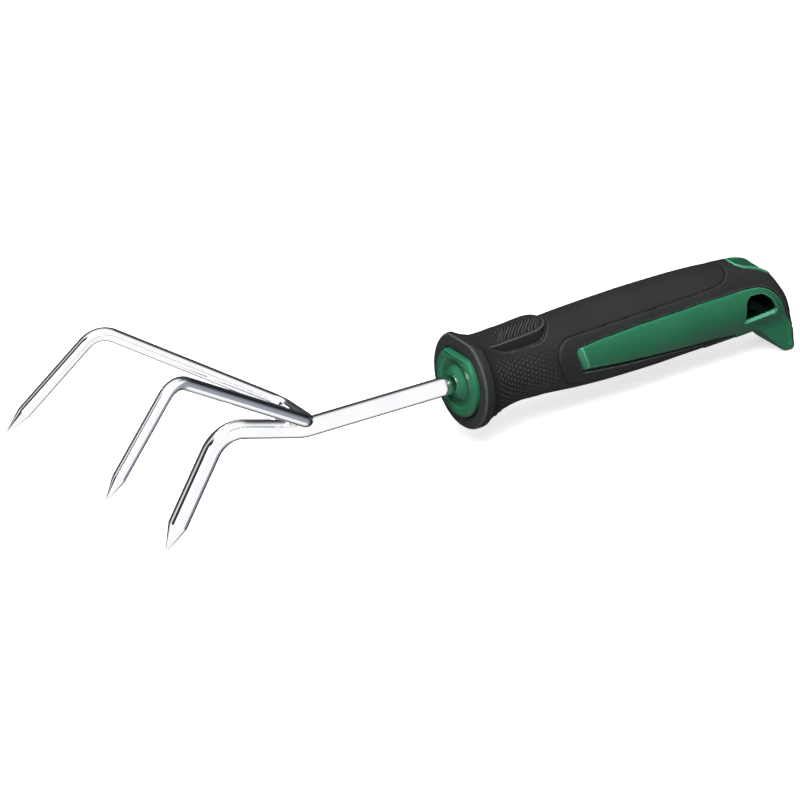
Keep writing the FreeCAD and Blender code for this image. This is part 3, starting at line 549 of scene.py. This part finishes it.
def black_details(x, y, z, d):
    """Groove, raised frame, and the recess under the thumb rest, on the black skin."""
    t = rel_angle(y, z) * ARC
    on = step(36, 40, x)
    gl = GROOVE_LINE(x, t)
    fa = FRAME_AREA(x, t)
    d = d + on * (0.55 * np.exp(-(gl / 0.40) ** 2) + 0.20 * step(-0.25, 0.5, fa))
    sd = rest_plan(x, y)
    rch = 1.75 * step(11.5, 21, x) * (1 - 0.6 * step(36.5, 43.8, x)) - 0.05
    chan = np.sqrt((sd - 0.25) ** 2 + (ell(x, y, z) + 0.1) ** 2) - rch
    return smax(d, np.where((x < 50) & (z > 3), -chan, -5.0), 0.5)


def panel_drop(x, z):
    """How far the green panel's bevels lie under the skin."""
    tf = ((x - 50.6) * 0.9537 + (z - 6.3) * 0.3003)
    zb = np.interp(x, [54, 72, 101, 122, 131, 131.6, 180], [-4.5, -6.2, -8.0, -9.3, -10.15, -40, -40])
    zt = np.interp(x, [50.6, 62, 82, 112, 134, 142.5, 148.6, 153.2, 156.4, 159.2, 180], [6.3, 7.8, 9.2, 10.2, 10.1, 9.2, 6.2, 0.8, -5.8, -12, -40])
    bev = 1.9 * (1 - tf / 2.6)
    bot = (1.15 - 0.45 * step(70, 115, x)) * (1 - (z - zb) / (1.9 - 0.7 * step(70, 115, x)))
    top = 0.35 * (1 - (zt - z) / 0.8)
    return smax(smax(smax(bev, bot, 0.2), top, 0.2), 0.0, 0.2)


def inner_end(x, s):
    return np.maximum(s, 128.0 - x)


def hang_hole(x, y, z):
    through = HOLE_SIDE(x, z)
    deep = -ell(x, y, z)
    ledge = 0.72 * ((-3.9 + 0.0123 * (x - 134.1)) - 1.1 + deep - z)
    ledge = np.maximum(np.maximum(ledge, 133.5 - x), np.maximum(x - 150.4, z + 3.0))
    through = np.minimum(through, ledge)
    cave = smax(CAVE(x, z), ell(x, y, z) + 2.2, 0.5)
    return np.minimum(through, cave)


def window_zone(x, y, z):
    return np.maximum(WINDOW_PLAN(x, y), 9.0 - z)


def green_core(x, y, z):
    s = skin(x, y, z)
    pn = PANEL_SIDE(x, z)
    body = smax(s + panel_drop(x, z) * step(133, 128, x), pn + 0.12, 0.55)
    wp = WINDOW_PLAN(x, y)
    dish = -0.05 + 1.05 * step(0.75, 2.2, -wp)
    window = smax(s + dish, window_zone(x, y, z) + 0.12, 0.4)
    d = np.minimum(np.minimum(body, np.maximum(s + 2.75, 128.1 - x)), np.where(x > 130, window, 5.0))
    d = smax(d, np.where((x > 128) & (x < 158), -hang_hole(x, y, z), -5.0), 0.45)
    bore = np.minimum(4.1 - np.sqrt(y * y + z * z), 92.3 - x)
    return np.maximum(d, bore)


def soft_grip(x, y, z):
    s = skin(x, y, z)
    d = black_details(x, y, z, s)
    d = smax(d, -(PANEL_SIDE(x, z) - 0.12), 0.7)
    inner = np.maximum(s + 2.6, 128.0 - x)
    d = np.maximum(d, -inner)
    d = smax(d, np.where(x > 130, -(window_zone(x, y, z) - 0.1), -5.0), 0.6)
    rr = np.sqrt(y * y + z * z)
    seat = np.maximum(np.maximum(rr - 15.2, x - 10.05), z - 12.8)
    d = smax(d, -seat, 0.35)
    bore = np.maximum(rr - 4.15, x - 92.4)
    return np.maximum(d, -bore)


REST_TOP = Track([(9, 16.3), (13, 15.75), (18, 15.95), (23, 16.6), (29, 17.35), (35, 17.95), (40, 18.35), (44, 18.2)])


def thumb_rest(x, y, z):
    crown = 1.45 * step(13, 30, x) * (y / 8.0) ** 2 * 1.0
    top = REST_TOP(x) - crown - 1.0 * np.maximum(0, (x - 40.5) / 3.1) ** 2 * step(40.5, 43.6, x) * 0.6
    u = x - 0.62 * y - 1.0 * np.sin((y + 1.5) * 2 * math.pi / 13.0)
    ph = (u / 3.25) % 1.0
    slit = np.exp(-(((ph - 0.5) * 3.25) / 0.42) ** 2)
    keep = step(17.0, 20.5, x - 0.35 * y) * step(0.0, -1.6, rest_plan(x, y) + 1.0) * step(42.6, 40.6, x)
    lip = 0.42 * step(-1.5, -0.55, rest_plan(x, y)) * step(15, 24, x)
    d = smax(rest_plan(x, y) + 0.02, (z - top + 0.50 * slit * keep - lip + 0.36) * 0.97, 0.38)
    d = smax(d, 12.6 - x, 0.5)
    floor = -(ell(x, y, z) + 2.2)
    return np.maximum(d, floor)


def front_cap(x, y, z):
    rr = np.sqrt(y * y + z * z)
    rad = smax(rr, z + 2.4, 0.6)
    prof = Track([(3.0, 0.35), (4.9, 0.45), (5.9, 0.95), (7.2, 2.2), (8.2, 2.7), (9.0, 2.45), (10.2, 1.5), (11.4, 1.15), (13.2, 1.2), (14.1, 1.55), (14.9, 2.4), (17.0, 5.0)])
    face = (prof(rr) - x) * 0.86
    flat = smax(rad - 14.9, np.maximum(rr - 14.9, z - 12.5), 0.3)
    # a shallow line parts the flat's sliver from the face
    line = 0.28 * np.exp(-((z - 10.9) / 0.36) ** 2) * step(2.0, 0.0, np.abs(rr - 12.6) - 1.6)
    d = smax(face + line, flat, 0.4)
    d = np.maximum(d, x - 10.0)
    return np.maximum(d, 4.05 - rr)


# -------------------------------------------------------------------- handle
P, Q, N = net(soft_grip, (2.6, -21.4, -21.4), (165.6, 21.4, 21.4), 0.53)
grip = mesh_piece("grip_moulding", P, Q, RUBBER, ("soft_grip",), N, grip_marks(P, Q, N))
P, Q, N = net(green_core, (48.6, -17.6, -26.6), (166.4, 17.6, 20.2), 0.42)
core = mesh_piece("core_moulding", P, Q, GREEN, ("handle_core",), N, core_marks(P, Q, N))
P, Q, N = net(thumb_rest, (11.4, -9.2, 10.0), (45.2, 9.2, 20.0), 0.26)
rest = mesh_piece("thumb_pad", P, Q, RUBBER, ("soft_grip",), N)
P, Q, N = net(front_cap, (-0.4, -16.0, -16.0), (11.0, 16.0, 16.0), 0.30)
cap = mesh_piece("front_collar_cap", P, Q, GREEN, ("front_cap",), N, cap_marks(P, Q, N))


# grip dots: low lenses set in the skin, dense on the waist and faint on the top pad
def dot_rows(x0, x1, t0, t1, pitch, r):
    step_t = math.degrees(pitch / r)
    xs = np.arange(x0, x1, pitch * 0.866)
    return np.array([(x, t) for i, x in enumerate(xs) for t in np.arange(t0 + (0.5 if i % 2 else 0) * step_t, t1, step_t)])


def make_dots():
    waist = dot_rows(11.2, 44.2, 40.0, 152.0, 2.12, 15.2)
    pad = dot_rows(47.5, 128.5, 1.5, 44.0, 1.85, 18.0)
    field = np.array([(x, t, m, k) for k, rows in ((1.0, waist), (0.0, pad)) for x, t in rows for m in (-1, 1)])
    x, t, m, kind = field.T
    a = np.radians(t)
    p = np.stack([x, m * 15 * np.sin(a), 15 * np.cos(a)], 1)
    e = np.eye(3) * 0.05
    on = lambda q: black_details(*q.T, skin(*q.T))
    for _ in range(10):
        g = np.stack([on(p + e[i]) - on(p - e[i]) for i in range(3)], 1) / 0.1
        p = p - np.clip(on(p) / np.maximum((g * g).sum(1), 0.1), -4, 4)[:, None] * g
    n = g / np.linalg.norm(g, axis=1)[:, None]
    gl, fa = GROOVE_LINE(p[:, 0], rel_angle(p[:, 1], p[:, 2]) * ARC), FRAME_AREA(p[:, 0], rel_angle(p[:, 1], p[:, 2]) * ARC)
    fade = step(34, 62, t) * (1 - 0.6 * step(28, 44, x) * step(110, 60, t)) * step(45.5, 41.5, x)
    fade = np.where(kind > 0.5, fade, 0.42 * step(47, 54, x) * step(129.5, 122, x))
    clear = np.where(kind > 0.5, (rest_plan(p[:, 0], p[:, 1]) > 2.6) & (gl > 1.3) & (fa > 0), (gl > 1.5) & (fa > 0))
    ok = clear & (fade > 0.12) & (np.abs(on(p)) < 0.05)
    p, n, fade, kind = p[ok], n[ok], fade[ok], kind[ok]
    u = np.cross(n, [1.0, 0, 0])
    u /= np.linalg.norm(u, axis=1)[:, None]
    v = np.cross(n, u)
    seg = 10
    V, Fs, marks = [], [], []
    for i in range(len(p)):
        hgt, rad, base = 0.32 * fade[i], 0.58 if kind[i] > 0.5 else 0.42, i * (3 * seg + 2)
        for rk, hk in ((1.0, -0.12), (0.80, 0.42 * hgt), (0.45, 0.86 * hgt)):
            c = 2 * math.pi * np.arange(seg) / seg
            V.append(p[i] + n[i] * hk + rad * rk * (np.cos(c)[:, None] * u[i] + np.sin(c)[:, None] * v[i]))
        V.append((p[i] + n[i] * hgt)[None])
        V.append((p[i] - n[i] * 0.2)[None])
        # painted highlights on the dots' tops, fading with the dots
        marks += [0.0] * seg + [0.50 * fade[i]] * seg + [0.80 * fade[i]] * seg + [0.84 * fade[i], 0.0]
        for q in range(seg):
            r = (q + 1) % seg
            for lev in (0, seg):
                Fs.append((base + lev + q, base + lev + r, base + lev + r + seg, base + lev + q + seg))
            Fs.append((base + 2 * seg + q, base + 2 * seg + r, base + 3 * seg))
            Fs.append((base + r, base + q, base + 3 * seg + 1))
    return np.concatenate(V), Fs, np.array(marks)


V, Fs, marks = make_dots()
dots = mesh_piece("grip_dots", V, Fs, RUBBER, ("soft_grip",), marks=marks)


# ----------------------------------------------------------------------- rods
def bent_line(points, radii, fine=20):
    pts = [np.array(points[0], float)]
    for i in range(1, len(points) - 1):
        a, b, c = (np.array(points[j], float) for j in (i - 1, i, i + 1))
        u, w = (a - b) / np.linalg.norm(a - b), (c - b) / np.linalg.norm(c - b)
        half = math.acos(float(u @ w)) / 2
        r = radii[i - 1]
        back = r / math.tan(half)
        mid = (u + w) / np.linalg.norm(u + w)
        centre = b + mid * r / math.sin(half)
        s, e = b + u * back - centre, b + w * back - centre
        ang = math.acos(max(-1, min(1, float(s @ e) / r / r)))
        for k in range(fine + 1):
            t = k / fine
            pts.append(centre + (math.sin((1 - t) * ang) * s + math.sin(t * ang) * e) / math.sin(ang))
    pts.append(np.array(points[-1], float))
    out = [pts[0]]
    for a, b in zip(pts[:-1], pts[1:]):
        n = max(1, int(np.linalg.norm(b - a) / 4.0))
        out += [a + (b - a) * k / n for k in range(1, n + 1)]
    return np.array(out)


def swept(line, stations, seg=56):
    """A round bar along line. stations gives (distance from the start, radius) for its ends' shapes."""
    keep = [line[0]]
    for p in line[1:]:
        if np.linalg.norm(p - keep[-1]) > 1e-6:
            keep.append(p)
    line = np.array(keep)
    s = np.concatenate([[0], np.cumsum(np.linalg.norm(np.diff(line, axis=0), axis=1))])
    extra = [q for q, _ in stations if 0 <= q <= s[-1]]
    allS = np.unique(np.round(np.concatenate([s, extra]), 5))
    L = np.stack([np.interp(allS, s, line[:, i]) for i in range(3)], 1)
    R = np.interp(allS, [q for q, _ in stations], [r for _, r in stations])
    T = np.gradient(L, axis=0)
    T /= np.linalg.norm(T, axis=1)[:, None]
    side = np.cross(T[0], [0, 0, 1.0] if abs(T[0][2]) < 0.9 else [0, 1.0, 0])
    V, F = [], []
    for i in range(len(L)):
        side = side - T[i] * (side @ T[i])
        side /= np.linalg.norm(side)
        up = np.cross(T[i], side)
        a = np.arange(seg) * 2 * math.pi / seg
        V.append(L[i] + R[i] * (np.cos(a)[:, None] * side + np.sin(a)[:, None] * up))
    V = np.concatenate(V + [L[:1], L[-1:]])
    n = len(L)
    for i in range(n - 1):
        for q in range(seg):
            a, b = i * seg + q, i * seg + (q + 1) % seg
            F.append((a, b, b + seg, a + seg))
    for q in range(seg):
        F.append(((q + 1) % seg, q, n * seg))
        F.append(((n - 1) * seg + q, (n - 1) * seg + (q + 1) % seg, n * seg + 1))
    return V, F, s[-1]


def rod_piece(name, V, F, node_name):
    ob = mesh_piece(name, V, F, CHROME, (node_name,))
    me = ob.data
    # the ground points meet the bar at an edge
    me.set_sharp_from_angle(angle=math.radians(12))
    return ob


rise, fall = math.radians(15.1), math.radians(58.4)
bend = np.array([-70.3, 0, 0])
knee = bend + 38.8 * np.array([-math.cos(rise), 0, math.sin(rise)])
tip = knee + 53.1 * np.array([-math.cos(fall), 0, -math.sin(fall)])
line = bent_line([(92.0, 0, 0), bend, knee, tip], [25.0, 14.0])
total = np.linalg.norm(np.diff(line, axis=0), axis=1).sum()
V, F, _ = swept(line, [(0, 3.6), (0.4, 4.0), (total - 11.0, 4.0), (total - 1.0, 0.68), (total - 0.35, 0.42), (total - 0.08, 0.2), (total, 0.06)])
main_rod = rod_piece("centre_tine_and_shank", V, F, "main_rod")

B, K, T3 = (-73.3, 11.4, 7.79), (-144.2, 29.6, 52.6), (-182.3, 39.1, 15.2)
flip = lambda p: (p[0], -p[1], p[2])
line = bent_line([T3, K, B, flip(B), flip(K), flip(T3)], [9.8, 6.5, 6.5, 9.8])
total = np.linalg.norm(np.diff(line, axis=0), axis=1).sum()
ends = [(0, 0.06), (0.08, 0.2), (0.35, 0.40), (1.0, 0.60), (10.0, 2.75)]
V, F, _ = swept(line, ends + [(total - q, r) for q, r in ends[::-1]])
side_rod = rod_piece("side_tines", V, F, "side_tine_rod")

for name in ("weld_bead_front", "weld_bead_rear"):
    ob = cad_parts[name]
    for slot in ob.material_slots:
        slot.material = WELD

# ---------------------------------------------------------------- the studio
floor_me = bpy.data.meshes.new("floor")
floor_me.from_pydata([(-12, -12, -0.0002), (12, -12, -0.0002), (12, 12, -0.0002), (-12, 12, -0.0002)], [], [(0, 1, 2, 3)])
floor = bpy.data.objects.new("floor", floor_me)
bpy.context.scene.collection.objects.link(floor)
floor_me.materials.append(pale("studio_floor", (0.90, 0.90, 0.90), (0.93, 0.93, 0.93)))
floor.visible_glossy = False
floor.visible_diffuse = False

AZ, EL, ROLL = math.radians(-31.2), math.radians(24.87), math.radians(-2.31)
DIST, TX, TY, LENS = 2685.18, 452.0, 383.9, 300.0
f = LENS / 36 * 800
back = np.array([math.sin(AZ) * math.cos(EL), -math.cos(AZ) * math.cos(EL), math.sin(EL)])
right = np.array([math.cos(AZ), math.sin(AZ), 0])
up = np.cross(back, right)
R = math.cos(ROLL) * right + math.sin(ROLL) * up
U = -math.sin(ROLL) * right + math.cos(ROLL) * up
C = R * (-(TX - 400) / f * DIST) + U * ((TY - 400) / f * DIST) + back * DIST
C = set_down(C[None])[0]
ax = turn_down(np.stack([R, U, back]))
M = Matrix.Identity(4)
for i in range(3):
    for j in range(3):
        M[j][i] = ax[i][j]
    M[i][3] = C[i]
cam_data = bpy.data.cameras.new("camera")
cam_data.lens, cam_data.sensor_width = LENS, 36.0
cam_data.clip_start, cam_data.clip_end = 0.1, 100.0
cam = bpy.data.objects.new("camera", cam_data)
cam.matrix_world = M
bpy.context.scene.collection.objects.link(cam)
bpy.context.scene.camera = cam


def area(name, where, target, size, watts, colour=(1, 1, 1)):
    ld = bpy.data.lights.new(name, "AREA")
    ld.shape, ld.size, ld.energy, ld.color = "SQUARE", size, watts, colour
    o = bpy.data.objects.new(name, ld)
    o.location = where
    o.rotation_mode = "QUATERNION"
    o.rotation_quaternion = (Vector(target) - Vector(where)).to_track_quat("-Z", "Y")
    bpy.context.scene.collection.objects.link(o)
    return o


area("key", (-0.50, -0.80, 1.45), (0.05, 0, 0.03), 1.1, 46)
area("fill", (-1.3, -0.7, 0.7), (0.05, 0, 0.03), 0.9, 4)

world = bpy.data.worlds.new("studio")
bpy.context.scene.world = world
world.use_nodes = True
nt = world.node_tree
nt.nodes.clear()
out = nt.nodes.new("ShaderNodeOutputWorld")
bg_look, bg_light = nt.nodes.new("ShaderNodeBackground"), nt.nodes.new("ShaderNodeBackground")
pick = nt.nodes.new("ShaderNodeMixShader")
path = nt.nodes.new("ShaderNodeLightPath")
tc = nt.nodes.new("ShaderNodeTexCoord")
sep = nt.nodes.new("ShaderNodeSeparateXYZ")
nt.links.new(tc.outputs["Generated"], sep.inputs[0])
# what shines in the chrome: white all round, with a dark wall behind the tool
dot = nt.nodes.new("ShaderNodeVectorMath")
dot.operation = "DOT_PRODUCT"
dot.inputs[1].default_value = (0.518, 0.855, 0.0)
nt.links.new(tc.outputs["Generated"], dot.inputs[0])
behind = ramp(nt, dot.outputs["Value"], 0.04, 0.44, 0.0, 1.0)
low = ramp(nt, sep.outputs["Z"], 0.60, 0.86, 1.0, 0.0)
mul = nt.nodes.new("ShaderNodeMath")
mul.operation = "MULTIPLY"
nt.links.new(behind, mul.inputs[0])
nt.links.new(low, mul.inputs[1])
r = nt.nodes.new("ShaderNodeValToRGB")
r.color_ramp.elements[0].color = (1.0, 1.0, 1.0, 1)
r.color_ramp.elements[1].color = (0.055, 0.057, 0.064, 1)
nt.links.new(mul.outputs[0], r.inputs[0])
# and a blue-grey patch low on the right, which the near tine mirrors
spot = nt.nodes.new("ShaderNodeVectorMath")
spot.operation = "DOT_PRODUCT"
spot.inputs[1].default_value = (0.866, -0.045, -0.497)
nt.links.new(tc.outputs["Generated"], spot.inputs[0])
tint = nt.nodes.new("ShaderNodeMix")
tint.data_type = "RGBA"
tint.blend_type = "MULTIPLY"
cut = nt.nodes.new("ShaderNodeMath")
cut.operation = "MULTIPLY"
nt.links.new(ramp(nt, spot.outputs["Value"], 0.64, 0.74, 0.0, 1.0), cut.inputs[0])
nt.links.new(ramp(nt, sep.outputs["X"], 0.51, 0.60, 0.0, 1.0), cut.inputs[1])
nt.links.new(cut.outputs[0], tint.inputs[0])
nt.links.new(r.outputs[0], tint.inputs[6])
tint.inputs[7].default_value = (0.32, 0.34, 0.39, 1)
# and a dark one high on the left, down the tines' lower legs
left = nt.nodes.new("ShaderNodeVectorMath")
left.operation = "DOT_PRODUCT"
left.inputs[1].default_value = (-0.852, -0.023, 0.523)
nt.links.new(tc.outputs["Generated"], left.inputs[0])
shade = nt.nodes.new("ShaderNodeMix")
shade.data_type = "RGBA"
nt.links.new(ramp(nt, left.outputs["Value"], 0.85, 0.92, 0.0, 1.0), shade.inputs[0])
nt.links.new(tint.outputs[2], shade.inputs[6])
shade.inputs[7].default_value = (0.035, 0.037, 0.042, 1)
nt.links.new(shade.outputs[2], bg_look.inputs[0])
bg_look.inputs[1].default_value = 1.14
# what lights the tool: bright above, dim below
r2 = nt.nodes.new("ShaderNodeValToRGB")
r2.color_ramp.elements[0].color = (0.04, 0.04, 0.04, 1)
r2.color_ramp.elements[1].color = (1.0, 1.0, 1.0, 1)
nt.links.new(ramp(nt, sep.outputs["Z"], -0.20, 0.85, 0.0, 1.0), r2.inputs[0])
nt.links.new(r2.outputs[0], bg_light.inputs[0])
bg_light.inputs[1].default_value = 0.42
nt.links.new(path.outputs["Is Glossy Ray"], pick.inputs[0])
nt.links.new(bg_light.outputs[0], pick.inputs[1])
nt.links.new(bg_look.outputs[0], pick.inputs[2])
nt.links.new(pick.outputs[0], out.inputs[0])
bpy.context.scene.view_settings.view_transform = "Standard"
